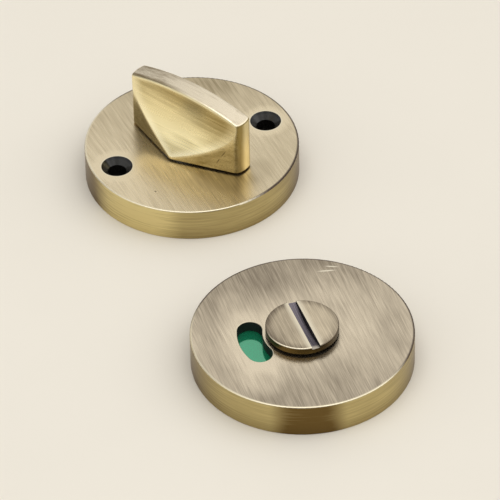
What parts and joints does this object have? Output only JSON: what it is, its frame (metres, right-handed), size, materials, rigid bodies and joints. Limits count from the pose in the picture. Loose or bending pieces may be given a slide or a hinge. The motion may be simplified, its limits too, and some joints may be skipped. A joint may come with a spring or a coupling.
{
  "type": "privacy door latch",
  "caption": "Bathroom door latch in two round-rose halves: a scooped thumb turn for the inside, and a slotted coin release with an indicator window for the outside.",
  "frame": {"origin": "midway between the two spindle axes, on the back plane of both roses", "axes": "+Z out of the door through both roses, +Y from the coin release towards the thumb turn, +X to the right in the picture"},
  "size_m": [0.0742, 0.1168, 0.0243],
  "materials": {
    "brushed_brass": "antique brass, straight-brushed",
    "turn_brass": "antique brass, fine-brushed",
    "black_acetal": "moulded",
    "spring_steel": "phosphated",
    "zinc_plate": "zinc plated",
    "green_enamel": "gloss",
    "red_enamel": "gloss"
  },
  "bodies": {
    "roses": {"turn_rose": "brushed_brass", "turn_bush": "black_acetal", "turn_wave_washer": "spring_steel", "indicator_rose": "brushed_brass", "release_bush": "black_acetal"},
    "turn": {"thumb_turn": "turn_brass", "turn_stop_cam": "zinc_plate", "turn_circlip": "spring_steel"},
    "release": {"coin_release": "turn_brass", "indicator_disc": "zinc_plate", "vacant_label": "green_enamel", "engaged_label": "red_enamel", "release_stop_cam": "zinc_plate", "release_wave_washer": "spring_steel", "release_circlip": "spring_steel"}
  },
  "joints": [
    {"name": "turn_swing", "type": "hinge", "parent": "roses", "child": "turn", "pos_m": [-0.0121, 0.03343, 0.008], "axis": [0, 0, 1], "range_deg": [-26, 64]},
    {"name": "release_swing", "type": "hinge", "parent": "roses", "child": "release", "pos_m": [0.0121, -0.03343, 0.008], "axis": [0, 0, 1], "range_deg": [0, 90]}
  ]
}
